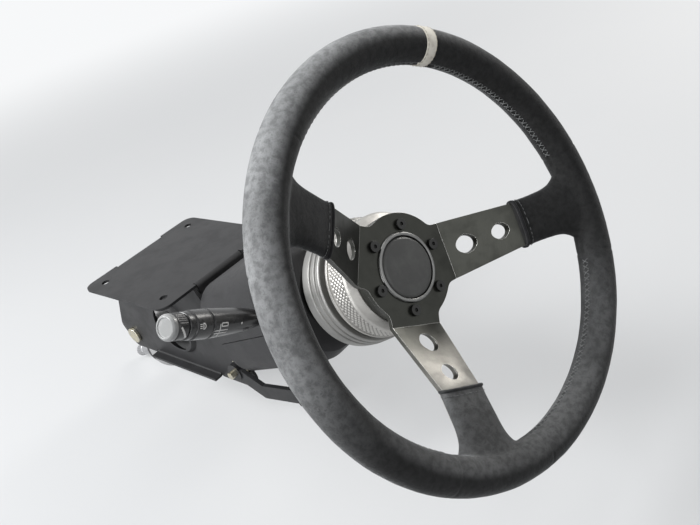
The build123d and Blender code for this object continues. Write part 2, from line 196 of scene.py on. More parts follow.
def suede(name, dark, light, worn_and_lit):
    """Napped hide with pits, greyer partly from hands and laps and partly as painted light on the sides where
    light falls.
    """
    m = Mat(name)
    v = m.coords()
    broad = m.noise(v, 17, 4, 0.55)
    mottle = m.noise(v, 210, 5, 0.65, 0.15)
    pits = m.noise(v, 420, 2, 0.5)
    nap = m.noise(v, 1000, 3, 0.7)
    fibre = m.noise(v, 2600, 2, 0.6)
    x, y, z = m.axes(m.coords("wheel"))
    reach = m.length(m.add("CombineXYZ", X=x, Y=y).outputs[0])
    out = m.math("MULTIPLY", m.math("SUBTRACT", reach, RIM_R), 0.85 / GRIP_R)
    front = m.math("MULTIPLY", z, 0.5 / GRIP_R)

    def toward(degrees):
        """1 at this angle round the wheel, -1 opposite."""
        a = math.radians(degrees)
        along = m.math("ADD", m.math("MULTIPLY", x, math.cos(a)), m.math("MULTIPLY", y, math.sin(a)))
        return m.math("DIVIDE", along, reach)

    # Painted light, partly real wear: the grip turns light grey on its outer and front side towards the upper
    # left, and on its inner side near the bottom, where light falls
    palm = m.math("SUBTRACT", m.math("ADD", front, out), m.math("MULTIPLY", y, 0.25 / RIM_R))
    held_and_lit = m.math("MULTIPLY", m.ramp(palm, 0.15, 0.75), m.ramp(toward(HELD_AND_LIT), 0.0, 0.8))
    inner = m.ramp(m.math("SUBTRACT", front, out), 0.3, 0.75, 0.0, 0.38)
    lap_and_lit = m.math("MULTIPLY", inner, m.ramp(toward(LAP_AND_LIT), 0.2, 0.8))
    wear_and_light = m.math("MULTIPLY", m.math("MAXIMUM", held_and_lit, lap_and_lit), m.ramp(broad, 0.3, 0.62, 0.6, 1.0))
    wear_and_light = m.math("MULTIPLY", wear_and_light, m.ramp(mottle, 0.34, 0.62, 0.58, 1.0))
    tone = m.mix(m.ramp(mottle, 0.28, 0.72), dark, light)
    tone = m.mix(wear_and_light, tone, worn_and_lit)
    tone = m.mix(m.ramp(pits, 0.58, 0.72, 0.0, 0.32), tone, shade(dark, 0.5))
    rough = m.ramp(wear_and_light, 0.0, 1.0, 0.95, 0.7)
    n = m.bump(nap, 0.5, 0.0004)
    n = m.bump(fibre, 0.3, 0.0003, n)
    n = m.bump(mottle, 0.5, 0.0009, n)
    return m.set(Base_Color=tone, Roughness=rough, Normal=n, Sheen_Weight=0.3, Sheen_Roughness=0.36,
                 Sheen_Tint=(0.94, 0.96, 0.97, 1.0), Specular_IOR_Level=0.25)


def leather(name, base, dirt):
    """Smooth hide with fine cells and soiled patches."""
    m = Mat(name)
    v = m.coords()
    cells = m.add("TexVoronoi", Vector=v, Scale=900.0)
    soil = m.noise(v, 160, 5, 0.65)
    fine = m.noise(v, 1500, 2)
    tone = m.mix(m.ramp(soil, 0.45, 0.75, 0.0, 0.6), base, dirt)
    n = m.bump(cells.outputs["Distance"], 0.35, 0.0004)
    n = m.bump(fine, 0.25, 0.0003, n)
    return m.set(Base_Color=tone, Roughness=0.62, Normal=n, Sheen_Weight=0.15)


def brushed(name, base, rough):
    """Satin metal with fine streaks across the wheel and faint finger marks."""
    m = Mat(name)
    lines = m.noise(m.stretched(m.coords("wheel"), (0.03, 0.9, 0.9)), 1.0, 6, 0.7)
    marks = m.noise(m.coords(), 45, 5, 0.6)
    r = m.math("ADD", m.ramp(lines, 0.3, 0.7, rough - 0.06, rough + 0.06),
               m.ramp(marks, 0.45, 0.75, 0.0, 0.16))
    tone = m.mix(m.ramp(marks, 0.4, 0.75, 0.0, 0.25), base, shade(base, 0.6))
    return m.set(Base_Color=tone, Metallic=1.0, Roughness=r, Normal=m.bump(lines, 0.05, 0.0002))


def anodised(name, base, glint_tone):
    """Brushed black anodising, lighter on the lower spoke: a painted reflection, in the look of anodising
    rubbed thin.
    """
    m = Mat(name)
    w = m.coords("wheel")
    lines = m.noise(m.stretched(w, (0.9, 0.03, 0.9)), 1.0, 6, 0.7)
    marks = m.noise(m.coords(), 60, 5, 0.65)
    # Painted reflection: along the lower spoke, away from the hub, the colour turns to a light bare tone that
    # stands in for light the plate mirrors
    below = m.math("MULTIPLY", m.axes(w)[1], -1.0)
    thin = m.math("MULTIPLY", m.ramp(below, 42, 84), m.ramp(marks, 0.25, 0.6, 0.45, 1.0))
    thin = m.math("MULTIPLY", thin, m.ramp(lines, 0.3, 0.7, 0.75, 1.0))
    tone = m.mix(m.ramp(marks, 0.4, 0.7, 0.0, 0.3), base, shade(base, 0.6))
    tone = m.mix(thin, tone, glint_tone)
    rough = m.math("ADD", m.ramp(lines, 0.3, 0.7, 0.27, 0.36), m.ramp(marks, 0.45, 0.75, 0.0, 0.12))
    return m.set(Base_Color=tone, Metallic=0.94, Roughness=rough, Normal=m.bump(lines, 0.05, 0.0002))


def knurl_groove_darkening(m, x, y, z):
    """Darker colour between the diamonds of the collar's knurl, from the angle and the place along the axis.
    """
    u = m.math("MULTIPLY", m.math("ARCTAN2", y, x), KNURLS / (2 * math.pi))
    v = m.math("DIVIDE", z, KNURL_PITCH)
    a = m.math("PINGPONG", m.math("ADD", u, v), 0.5)
    b = m.math("PINGPONG", m.math("SUBTRACT", u, v), 0.5)
    inside = m.math("MULTIPLY", m.ramp(z, KNURL_BACK - 0.6, KNURL_BACK + 0.4),
                    m.ramp(z, KNURL_FRONT - 0.4, KNURL_FRONT + 0.6, 1.0, 0.0))
    return m.math("MULTIPLY", m.ramp(m.math("MINIMUM", a, b), 0.0, 0.17, 0.85, 0.0), inside)


def turned_metal(name, base, rough, pitch=1.1, place="wheel", dark_knurl=False):
    """Lathe-turned metal with fine rings round the axis, and when asked darker between the knurl's diamonds.
    """
    m = Mat(name)
    x, y, z = m.axes(m.coords(place))
    radius = m.length(m.add("CombineXYZ", X=x, Y=y).outputs[0])
    lines = m.noise(m.add("CombineXYZ", X=radius, Z=z).outputs[0], 5.0 / pitch, 5, 0.75)
    marks = m.noise(m.coords(), 60, 5, 0.62)
    tone = m.mix(m.ramp(marks, 0.42, 0.72, 0.0, 0.35), base, shade(base, 0.62))
    if dark_knurl:
        tone = m.mix(knurl_groove_darkening(m, x, y, z), tone, (0.09, 0.085, 0.08))
    r = m.math("ADD", m.ramp(lines, 0.3, 0.7, rough - 0.06, rough + 0.08),
               m.ramp(marks, 0.45, 0.75, 0.0, 0.15))
    return m.set(Base_Color=tone, Metallic=1.0, Roughness=r, Normal=m.bump(lines, 0.16, 0.0002))


def plastic(name, base, rough, grain, scale=1300.0, gloss=0.3):
    """Moulded plastic with a fine leather-like grain."""
    m = Mat(name)
    v = m.coords()
    cells = m.add("TexVoronoi", Vector=v, Scale=scale)
    dust = m.noise(v, 38, 6, 0.65)
    n = m.bump(cells.outputs["Distance"], grain, 0.0004)
    tone = m.mix(m.ramp(dust, 0.4, 0.75, 0.0, 0.55), base, shade(base, 1.8, 0.008))
    r = m.ramp(dust, 0.35, 0.7, rough - 0.05, rough + 0.1)
    return m.set(Base_Color=tone, Roughness=r, Normal=n, Specular_IOR_Level=gloss)


def coated(name, base, rough):
    """Sprayed black coat: faint orange peel, dust and small scuffs."""
    m = Mat(name)
    v = m.coords()
    peel = m.noise(v, 420, 2)
    dust = m.noise(v, 30, 6, 0.65)
    scuff = m.noise(v, 240, 8, 0.75, 1.5)
    tone = m.mix(m.ramp(dust, 0.42, 0.75, 0.0, 0.4), base, shade(base, 1.4, 0.006))
    tone = m.mix(m.ramp(scuff, 0.68, 0.74, 0.0, 0.7), tone, (0.12, 0.12, 0.12))
    r = m.ramp(dust, 0.4, 0.7, rough - 0.04, rough + 0.14)
    n = m.bump(peel, 0.12, 0.0005)
    return m.set(Base_Color=tone, Roughness=r, Normal=n, Specular_IOR_Level=0.28)


def cast(name, base):
    """Sand-cast metal with stains."""
    m = Mat(name)
    v = m.coords()
    sand = m.noise(v, 1000, 3, 0.7)
    stain = m.noise(v, 55, 5, 0.6)
    tone = m.mix(m.ramp(stain, 0.4, 0.72, 0.0, 0.5), base, shade(base, 0.55))
    rough = m.ramp(stain, 0.3, 0.7, 0.45, 0.62)
    return m.set(Base_Color=tone, Metallic=0.9, Roughness=rough, Normal=m.bump(sand, 0.4, 0.0004))


def zinc(name):
    """Zinc plate with its yellowish film."""
    m = Mat(name)
    v = m.coords()
    film = m.noise(v, 90, 4, 0.6, 0.8)
    fine = m.noise(v, 900, 2)
    tone = m.mix(m.ramp(film, 0.35, 0.65), (0.52, 0.50, 0.43), (0.62, 0.57, 0.42))
    rough = m.ramp(fine, 0.3, 0.7, 0.3, 0.42)
    return m.set(Base_Color=tone, Metallic=1.0, Roughness=rough, Normal=m.bump(fine, 0.1, 0.0002))


def rubber(name, base):
    """Dull rubber with dust on it."""
    m = Mat(name)
    v = m.coords()
    fine = m.noise(v, 1100, 3)
    dust = m.noise(v, 40, 5, 0.6)
    tone = m.mix(m.ramp(dust, 0.4, 0.75, 0.0, 0.5), base, shade(base, 2.0, 0.01))
    return m.set(Base_Color=tone, Roughness=0.8, Normal=m.bump(fine, 0.2, 0.0003), Specular_IOR_Level=0.3)


def thread(name, base):
    """Twisted sewing thread."""
    m = Mat(name)
    v = m.coords()
    twist = m.noise(v, 2600, 2)
    tone = m.mix(m.ramp(twist, 0.3, 0.7), shade(base, 0.6), base)
    return m.set(Base_Color=tone, Roughness=0.55, Normal=m.bump(twist, 0.4, 0.0002), Sheen_Weight=0.2)


MATS = {
    # The last colour of each suede is a light grey of wear and painted light, laid on the grip where light
    # falls
    "suede": suede("suede_charcoal", (0.012, 0.012, 0.012), (0.026, 0.026, 0.026), (0.30, 0.305, 0.308)),
    "suede_edge": suede("suede_edge", (0.012, 0.012, 0.013), (0.026, 0.026, 0.027), (0.075, 0.078, 0.078)),
    "thread": thread("thread_grey", (0.17, 0.175, 0.175)),
    "thread_pale": thread("thread_cream", (0.66, 0.60, 0.48)),
    "marker_leather": leather("leather_cream", (0.90, 0.86, 0.76), (0.46, 0.41, 0.33)),
    # The last colour is the painted reflection on the lower spoke
    "frame_metal": anodised("anodised_black", (0.052, 0.053, 0.047), (0.19, 0.184, 0.17)),
    "bare_edge": brushed("bare_edge", (0.75, 0.74, 0.71), 0.35),
    "screw_steel": brushed("screw_black", (0.05, 0.05, 0.049), 0.32),
    "trim_metal": turned_metal("ring_satin", (0.21, 0.21, 0.205), 0.28),
    "horn_plastic": plastic("horn_grey", (0.105, 0.106, 0.102), 0.34, 0.12, 1500),
    "collar_metal": turned_metal("collar_alloy", (0.43, 0.42, 0.40), 0.44, 2.0, dark_knurl=True),
    "drum_metal": turned_metal("drum_alloy", (0.275, 0.272, 0.262), 0.44),
    "shaft_steel": turned_metal("shaft_ground", (0.45, 0.45, 0.46), 0.28, 0.8, "column"),
    "black_paint": coated("tube_coat", (0.018, 0.018, 0.019), 0.38),
    "bearing_steel": turned_metal("bearing_ground", (0.5, 0.5, 0.5), 0.25, 0.8, "column"),
    "cast_metal": cast("cast_alloy", (0.50, 0.50, 0.50)),
    "zinc_steel": zinc("zinc_plate"),
    "grip_rubber": rubber("rubber_black", (0.018, 0.018, 0.018)),
    "cover_plastic": plastic("cover_grain", (0.018, 0.018, 0.019), 0.5, 0.4, 1000),
    "switch_plastic": plastic("switch_black", (0.015, 0.015, 0.015), 0.5, 0.15),
    "stalk_plastic": plastic("stalk_satin", (0.02, 0.02, 0.021), 0.2, 0.05, 1600, 0.5),
    # The cap's light grey is partly painted reflection: lightened past its plastic's own grey to stand in for
    # bright light it mirrors
    "knob_plastic": plastic("knob_grey", (0.28, 0.283, 0.28), 0.26, 0.05, 1600, 0.5),
    "print_white": plastic("print_white", (0.80, 0.80, 0.78), 0.5, 0.0, 1600),
    "lock_metal": plastic("lock_black", (0.03, 0.03, 0.031), 0.35, 0.1),
    "bracket_paint": coated("bracket_coat", (0.020, 0.020, 0.021), 0.42),
}


# Pieces
# Degrees between two faces: up to the first they are joined, and past the second their edge is broken
FLAT, SHARP = 0.6, 32.0


def finish_piece(name, mesh, body, mats, smooth=35.0, stands_for=None, harden=False):
    """Links a mesh as a piece that rides on a body and takes a slot's finish."""
    obj = bpy.data.objects.new(name, mesh)
    bpy.context.scene.collection.objects.link(obj)
    for m in mats:
        mesh.materials.append(m)
    for p in mesh.polygons:
        p.use_smooth = True
    mesh.set_sharp_from_angle(angle=math.radians(smooth))
    if harden:
        obj.modifiers.new("flats", "WEIGHTED_NORMAL").keep_sharp = True
    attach(obj, body)
    if stands_for:
        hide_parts(stands_for)
    return obj


def mesh_of(name, verts, faces):
    mesh = bpy.data.meshes.new(name)
    mesh.from_pydata([tuple(v) for v in verts], [], faces)
    mesh.validate()
    return mesh


def clean(mesh, merge=0.0):
    """Turns a closed mesh's faces outward and, given a distance, merges points that coincide."""
    bm = bmesh.new()
    bm.from_mesh(mesh)
    if merge:
        bmesh.ops.remove_doubles(bm, verts=bm.verts, dist=merge)
        bmesh.ops.dissolve_degenerate(bm, edges=bm.edges, dist=merge / 10)
    bmesh.ops.recalc_face_normals(bm, faces=bm.faces)
    bm.to_mesh(mesh)
    bm.free()
    return mesh


def places(node):
    """The body and the material slot that the record gives a node."""
    record = frame["record"]
    body = next(b for b, members in record["behaviour"]["bodies"].items() if node in members)
    return body, next(s["material_slot"] for s in record["subparts"] if s["node"] == node)


def refine(node, width, edge_mat=None):
    """A CAD solid again with its sharp edges broken by a small round, in place of the node."""
    bm = bmesh.new()
    bm.from_mesh(NODES[node].data)
    bmesh.ops.remove_doubles(bm, verts=bm.verts, dist=2e-6)
    bmesh.ops.dissolve_limit(bm, angle_limit=math.radians(FLAT), verts=bm.verts, edges=bm.edges)
    sharp = [e for e in bm.edges if len(e.link_faces) == 2 and e.calc_face_angle(0.0) > math.radians(SHARP)]
    bmesh.ops.bevel(bm, geom=sharp, offset=width / 1000, offset_type="OFFSET", segments=2, profile=0.6,
                    affect="EDGES", clamp_overlap=True, material=1 if edge_mat else -1)
    bmesh.ops.dissolve_degenerate(bm, edges=bm.edges, dist=3e-6)
    mesh = bpy.data.meshes.new(node + "_fine")
    bm.to_mesh(mesh)
    bm.free()
    body, slot = places(node)
    mats = [MATS[slot]] + ([MATS[edge_mat]] if edge_mat else [])
    return finish_piece(node + "_fine", mesh, body, mats, 38.0, node, harden=True)


def dress(node):
    """A CAD node kept as it is, with its slot's finish."""
    data = NODES[node]
    if not data.material_slots:
        data.data.materials.append(None)
    for s in data.material_slots:
        s.link = "OBJECT"
        s.material = MATS[places(node)[1]]


def rounded(corners, steps=4):
    """A lathe profile from (r, z, corner radius) points, with its corners turned into arcs."""
    out = []
    pts = [Vector(c[:2]) for c in corners]
    for i, c in enumerate(corners):
        here, round_r = pts[i], c[2] if len(c) > 2 else 0.0
        if round_r <= 0 or i in (0, len(corners) - 1):
            out.append(here)
            continue
        back, on = pts[i - 1] - here, pts[i + 1] - here
        reach = min(round_r, back.length * 0.49, on.length * 0.49)
        a, b = here + back.normalized() * reach, here + on.normalized() * reach
        for k in range(steps + 1):
            t = k / steps
            out.append(a * (1 - t) ** 2 + here * 2 * t * (1 - t) + b * t * t)
    return out


def grid_faces(rows, cols, base=0, loop=False):
    """Quads over rows of points, each closed on itself; with loop the last row meets the first."""
    out = []
    for i in range(rows if loop else rows - 1):
        here, on = base + i * cols, base + (i + 1) % rows * cols
        for k in range(cols):
            j = (k + 1) % cols
            out.append((here + k, here + j, on + j, on + k))
    return out


def lathe(name, node, profile, turns=160, place=whl, wave=None, mat=None):
    """A turned piece in place of a node, its bore closed; wave(angle, r, z) moves its surface out."""
    verts = []
    for r, z in profile:
        for k in range(turns):
            a = 2 * math.pi * k / turns
            rr = r + (wave(a, r, z) if wave else 0.0)
            verts.append(place(rr * math.cos(a), rr * math.sin(a), z))
    hollow = max(profile[0][0], profile[-1][0]) > 0
    mesh = clean(mesh_of(name, verts, grid_faces(len(profile), turns, 0, hollow)), 1e-6)
    body, slot = places(node)
    return finish_piece(name, mesh, body, [MATS[mat or slot]], 30.0, node)


# The wheel's soft parts, in wheel coordinates (mm)
def rim_point(theta, phi, r=GRIP_R):
    """On the grip: theta round the wheel, phi round the section (0 outside, 90 toward the driver)."""
    t, p = math.radians(theta), math.radians(phi)
    reach = RIM_R + r * math.cos(p)
    return Vector((reach * math.cos(t), reach * math.sin(t), r * math.sin(p)))


# A sleeve at four places along its spoke: distance from the centre, half width, half height and the
# height of its middle
WRAP = ((99, 20, 6, -22.0), (119, 20, 8, -14.5), (137, 23, 10, -8.0), (155, 36, 11.5, -2.5))
SLEEVE_LONG, SLEEVE_ROWS = 58.0, 30
AROUND, ACROSS = 240, 48
# Degrees from a spoke's middle: the rim goes round again, its inner seam starts, a sleeve has its edge
# and the lacing ends
ROUND_AGAIN, SEAM_START, SLEEVE_EDGE, LACE_END = 10.0, 13.0, 16.4, 17.2


def through(a, b, c, d, t):
    """A smooth curve through four values, read at t from 0 at the second to 1 at the third."""
    curve = (2 * a - 5 * b + 4 * c - d) * t * t + (3 * b - a - 3 * c + d) * t ** 3
    return 0.5 * (2 * b + (c - a) * t + curve)


def wrap_point(spoke, r, a, grow=0.0):
    """On the sleeve over a spoke: r from the wheel's centre, a round its section (90 toward the driver)."""
    i = max(0, min(2, sum(r > place[0] for place in WRAP) - 1))
    p0, p1, p2, p3 = (WRAP[max(0, min(3, i + d))] for d in (-1, 0, 1, 2))
    t = (r - p1[0]) / (p2[0] - p1[0])
    w, h, z = (through(p0[n], p1[n], p2[n], p3[n], t) for n in (1, 2, 3))
    boxy = max(0.0, min(1.0, (WRAP[2][0] - r) / (WRAP[2][0] - WRAP[0][0])))
    power = 2 / (2.0 + 1.1 * boxy)
    c, s = math.cos(math.radians(a)), math.sin(math.radians(a))
    y = (w + grow) * math.copysign(abs(c) ** power, c)
    up = (h + grow) * math.copysign(abs(s) ** power, s)
    q = math.radians(SPOKES[spoke])
    return Vector((r * math.cos(q) - y * math.sin(q), r * math.sin(q) + y * math.cos(q), z + up))


def apart(theta, other):
    """Degrees between two directions."""
    return abs((theta - other + 180) % 360 - 180)


def rim_skin():
    """Grip and sleeves melted into one skin, in wheel coordinates in metres."""
    verts = []
    for i in range(AROUND):
        verts += [rim_point(360 * i / AROUND, 360 * k / ACROSS) for k in range(ACROSS)]
    faces = grid_faces(AROUND, ACROSS, 0, True)
    for spoke in range(3):
        base = len(verts)
        for i in range(SLEEVE_ROWS):
            r = WRAP[0][0] + SLEEVE_LONG * i / (SLEEVE_ROWS - 1)
            verts += [wrap_point(spoke, r, 360 * k / ACROSS) for k in range(ACROSS)]
        faces += grid_faces(SLEEVE_ROWS, ACROSS, base)
        faces.append(tuple(range(base, base + ACROSS)))
        faces.append(tuple(range(len(verts) - 1, len(verts) - ACROSS - 1, -1)))
    raw = bpy.data.objects.new("rim_raw", clean(mesh_of("rim_raw", [v / 1000 for v in verts], faces)))
    bpy.context.scene.collection.objects.link(raw)
    mod = raw.modifiers.new("remesh", "REMESH")
    mod.mode = "VOXEL"
    mod.voxel_size = 0.00125
    bpy.context.view_layer.update()
    mesh = bpy.data.meshes.new_from_object(raw.evaluated_get(bpy.context.evaluated_depsgraph_get()))
    bpy.data.objects.remove(raw)
    return mesh


def bell(distance, wide):
    """1 at no distance, falling softly to nothing past about twice the width."""
    return math.exp(-(distance / wide) ** 2)


def settled(p):
    """A point of the skin (mm) moved to the grip's true round, a little uneven, with the seams pressed in."""
    theta = math.degrees(math.atan2(p.y, p.x))
    ring = math.hypot(p.x, p.y) - RIM_R
    phi, d = math.atan2(p.z, ring), math.hypot(ring, p.z)
    if d >= GRIP_R + 0.9:
        return p
    near = min(apart(theta, s) for s in SPOKES)
    arc = math.radians(1) * RIM_R
    lift = 0.22 * noise.noise(p * 0.05) + 0.10 * noise.noise(p * 0.16)
    # The seam along the rim's inner side with a fold on each side, the sleeves' edges and the band's
    if near > SEAM_START:
        seam = abs(phi % (2 * math.pi) - math.pi) * GRIP_R
        lift += 0.2 * bell(seam - 2.6, 1.2) - 0.75 * bell(seam, 0.9)
    lift -= 0.45 * bell((near - SLEEVE_EDGE) * arc, 0.9)
    lift -= 0.5 * bell((apart(theta, MARKER) - MARKER_HALF) * arc, 1.1)
    keep = min(1.0, max(0.0, (near - ROUND_AGAIN) / 4))
    return rim_point(theta, math.degrees(phi), d + (GRIP_R - d) * keep + lift)


def build_rim():
    mesh = rim_skin()
    bm = bmesh.new()
    bm.from_mesh(mesh)
    for _ in range(5):
        bmesh.ops.smooth_vert(bm, verts=bm.verts, factor=0.5, use_axis_x=True, use_axis_y=True,
                              use_axis_z=True)
    for v in bm.verts:
        v.co = whl(*settled(v.co * 1000))
    bm.to_mesh(mesh)
    bm.free()
    mesh.name = "rim_suede"
    mesh.materials.clear()
    finish_piece("rim_suede", mesh, "wheel", [MATS["suede"]], 80.0, "rim_grip")


def build_marker():
    """The leather band sewn round the rim: an arched strip, closed underneath."""
    rows, turns = 15, 96
    edge = MARKER_HALF + 0.05
    strip = []
    for i in range(rows):
        u = -1 + 2 * i / (rows - 1)
        strip.append((u, GRIP_R + 0.45 - 1.3 * abs(u) ** 7 + 0.12 * math.cos(u * 5)))
    strip += [(u, GRIP_R - 1.8) for u in (1, -1)]
    verts = [whl(*rim_point(MARKER + u * edge, 360 * k / turns, r)) for u, r in strip for k in range(turns)]
    mesh = clean(mesh_of("marker_band", verts, grid_faces(len(strip), turns, 0, True)))
    finish_piece("marker_band", mesh, "wheel", [MATS["marker_leather"]], 80.0, "rim_marker")


class Threads:
    """Sewn strands gathered into one piece."""

    def __init__(self, radius, sides=6):
        self.radius, self.sides, self.verts, self.faces = radius, sides, [], []

    def strand(self, points):
        """A thread through points (mm), thinner at its two ends."""
        base, n = len(self.verts), len(points)
        for i, p in enumerate(points):
            ahead = (points[min(i + 1, n - 1)] - points[max(i - 1, 0)]).normalized()
            side = ahead.orthogonal().normalized()
            other = ahead.cross(side)
            r = self.radius * (0.75 if i in (0, n - 1) else 1.0)
            for k in range(self.sides):
                a = 2 * math.pi * k / self.sides
                self.verts.append(whl(*(p + (side * math.cos(a) + other * math.sin(a)) * r)))
        self.faces += grid_faces(n, self.sides, base)
        self.faces.append(tuple(base + self.sides - 1 - k for k in range(self.sides)))
        self.faces.append(tuple(base + (n - 1) * self.sides + k for k in range(self.sides)))

    def ring(self, points):
        """A cord through points (mm) that meets its own start."""
        base, n = len(self.verts), len(points)
        for i, p in enumerate(points):
            ahead = (points[(i + 1) % n] - points[i - 1]).normalized()
            out = (p - sum(points, Vector()) / n).normalized()
            side = ahead.cross(out).normalized()
            out = side.cross(ahead)
            for k in range(self.sides):
                a = 2 * math.pi * k / self.sides
                self.verts.append(whl(*(p + (out * math.cos(a) + side * math.sin(a)) * self.radius)))
        self.faces += grid_faces(n, self.sides, base, True)

    def piece(self, name, mat):
        finish_piece(name, mesh_of(name, self.verts, self.faces), "wheel", [MATS[mat]], 80.0)


def laced(theta):
    """Whether the lacing runs here, clear of the sleeves and of the marker band."""
    return min(apart(theta, s) for s in SPOKES) > LACE_END and apart(theta, MARKER) > 2.7


def build_stitches():
    # Lacing across the inner seam: a step each 5 mm, reaching so many degrees to each side of the seam
    lace = Threads(0.36)
    step = math.degrees(5.0 / (RIM_R - GRIP_R))
    reach = 11.5
    for k in range(int(360 / step)):
        start = k * step + random.uniform(-0.06, 0.06)
        if not (laced(start) and laced(start + step)):
            continue
        for side, high in ((1, 0.0), (-1, 0.32)):
            points = []
            for t in (i / 6 for i in range(7)):
                lift = -0.35 + 0.75 * math.sin(math.pi * t) ** 0.6 + high * math.sin(math.pi * t)
                theta = start + step * (0.08 + 0.84 * t)
                points.append(rim_point(theta, 180 + side * reach * (1 - 2 * t), GRIP_R + lift))
            lace.strand(points)
    lace.piece("rim_cross_stitches", "thread")

    # Short stitches round each sleeve's hem and down its seam, each from hide to hide: (along, height)
    fine = Threads(0.27, 5)
    round_hem, down_seam = 30, 13
    for spoke in range(3):
        for k in range(round_hem):
            a = 360 * (k + 0.5) / round_hem
            fine.strand([wrap_point(spoke, 103.5, a + d, up) for d, up in
                         ((-3.6, -0.2), (-2.4, 0.25), (0, 0.34), (2.4, 0.25), (3.6, -0.2))])
        for k in range(down_seam):
            r = 107 + 3.1 * k
            for side in (-1, 1):
                fine.strand([wrap_point(spoke, r + d, 270 + side * 5, up) for d, up in
                             ((-1.0, -0.25), (-0.5, 0.22), (0.4, 0.25), (1.0, -0.25))])
    fine.piece("wrap_stitches", "thread")

    hem = Threads(1.35, 10)
    for spoke in range(3):
        hem.ring([wrap_point(spoke, WRAP[0][0] + 0.4, a, -0.45) for a in range(0, 360, 5)])
    hem.piece("wrap_hems", "suede_edge")

    pale = Threads(0.24, 5)
    round_band = 26
    for side in (-1, 1):
        theta = MARKER + side * (MARKER_HALF - 0.42)
        for k in range(round_band):
            a = 360 * k / round_band
            pale.strand([rim_point(theta, a + d, GRIP_R + up) for d, up in
                         ((-4.4, 0.1), (-3.0, 0.5), (0, 0.62), (3.0, 0.5), (4.4, 0.1))])
    pale.piece("marker_stitches", "thread_pale")


# Turned pieces and the lever
def knurl(a, r, z):
    """Diamonds pressed into the collar between its two edges."""
    if not KNURL_BACK < z < KNURL_FRONT or r < COLLAR_R - 0.5:
        return 0.0
    u, v = a * KNURLS / (2 * math.pi), z / KNURL_PITCH
    cut = max(abs(2 * ((u + v) % 1) - 1), abs(2 * ((u - v) % 1) - 1))
    fade = min(1.0, (KNURL_FRONT - z) / 0.5, (z - KNURL_BACK) / 0.5)
    deep, flat = 0.65, 0.75
    return fade * (0.9 * min(flat, 1 - cut) - deep)


def build_turned():
    r, front, back = COLLAR_R, COLLAR_FRONT, COLLAR_BACK
    bore = 30.4
    collar = rounded([(bore, front), (44.0, front, 0.6), (49.3, -76.5, 0.8), (r, -78.3, 0.5), (r, -78.6)])
    collar += [Vector((r, KNURL_FRONT - 0.45 * k)) for k in range(38)]
    collar += rounded([
        (r, -96.0), (49.3, -96.6, 0.2), (49.3, -97.7, 0.2), (51.1, -98.3, 0.4), (51.1, -100.5, 0.5),
        (r, back, 0.2), (bore, back)])
    lathe("collar_knurled", "release_collar", collar, 704, wave=knurl)

    r, back, neck, end = DRUM_R, DRUM_BACK, NECK_R, NECK_BACK
    bore = 11.05
    lathe("boss_turned", "boss", rounded([
        (bore, -101.4), (46, -101.4, 0.5), (46, -106.5, 0.4), (r - 2.4, -106.5, 0.5), (r - 1.4, -107.6, 0.6),
        (r - 1.4, -110.5, 0.3), (r - 2.4, -111.0, 0.2), (r - 2.4, -112.2, 0.2), (r - 0.8, -112.8, 0.4),
        (r - 0.8, -117, 0.4), (r - 1.8, -117.5, 0.2), (r - 1.8, -118.6, 0.2), (r, -119.2, 0.8),
        (r, back, 2.2), (47, back, 1.0), (34, -146, 2.0), (neck, -150, 2.0), (neck, end, 0.6), (bore, end)]))

    lathe("hub_flange", "release_hub", rounded([
        (0, -80), (26.5, -80), (26.5, -63.2), (43.5, -63.2, 0.5), (43.5, -71.5, 0.6), (30, -71.5),
        (30, -99.5), (0, -99.5)]), 128)
    lathe("horn_rim", "horn_ring", rounded([
        (25.6, -59), (25.6, -57.3, 0.3), (26.3, -56.7, 0.5), (27.9, -56.7, 0.7), (29, -58.0, 0.5),
        (29, -59)]))

    dome = [(0, -71), (25.2, -71), (25.2, -58.0, 1.3), (22.8, -56.46, 1.3)]
    rows = 14
    for k in range(rows):
        x = 21.4 * (1 - k / (rows - 1))
        dome.append((x, -56.7 + 2.0 * (1 - (x / 24.3) ** 2)))
    lathe("horn_dome", "horn_button", rounded(dome, 6))


STALK_LONG = (STALK_TIP - STALK_ROOT).length
STALK_AXIS = (STALK_TIP - STALK_ROOT).normalized()
FACING = Vector((0.13, -0.47, 0.875))
STALK_FACE = (FACING - STALK_AXIS * FACING.dot(STALK_AXIS)).normalized()
STALK_SIDE = STALK_AXIS.cross(STALK_FACE)
# Where the lever's body widens and narrows, as shares of its length, with its radii there, the end of
# the groove in it, and the radius of its rotary sleeve
WIDEN = ((0.38, 10.3), (0.69, 12.0), (0.82, 11.6))
WAIST_END = 0.709
SLEEVE_R = 10.5


def on_stalk(x, y, z):
    """From the lever's axes (x toward the face with the marks, z along it from its root) to the row."""
    return col(*(STALK_ROOT + STALK_FACE * x + STALK_SIDE * y + STALK_AXIS * z))


def at(share):
    """How far along the lever a share of its length is."""
    return share * STALK_LONG


def stalk_radius(share):
    """The lever's radius where marks are printed on it."""
    (thin_at, thin), (wide_at, wide), (end_at, end) = WIDEN
    if share > 0.86:
        return SLEEVE_R
    if share > 0.7:
        return wide + (end - wide) * (share - WAIST_END) / (end_at - WAIST_END)
    return thin + (wide - thin) * (share - thin_at) / (wide_at - thin_at)


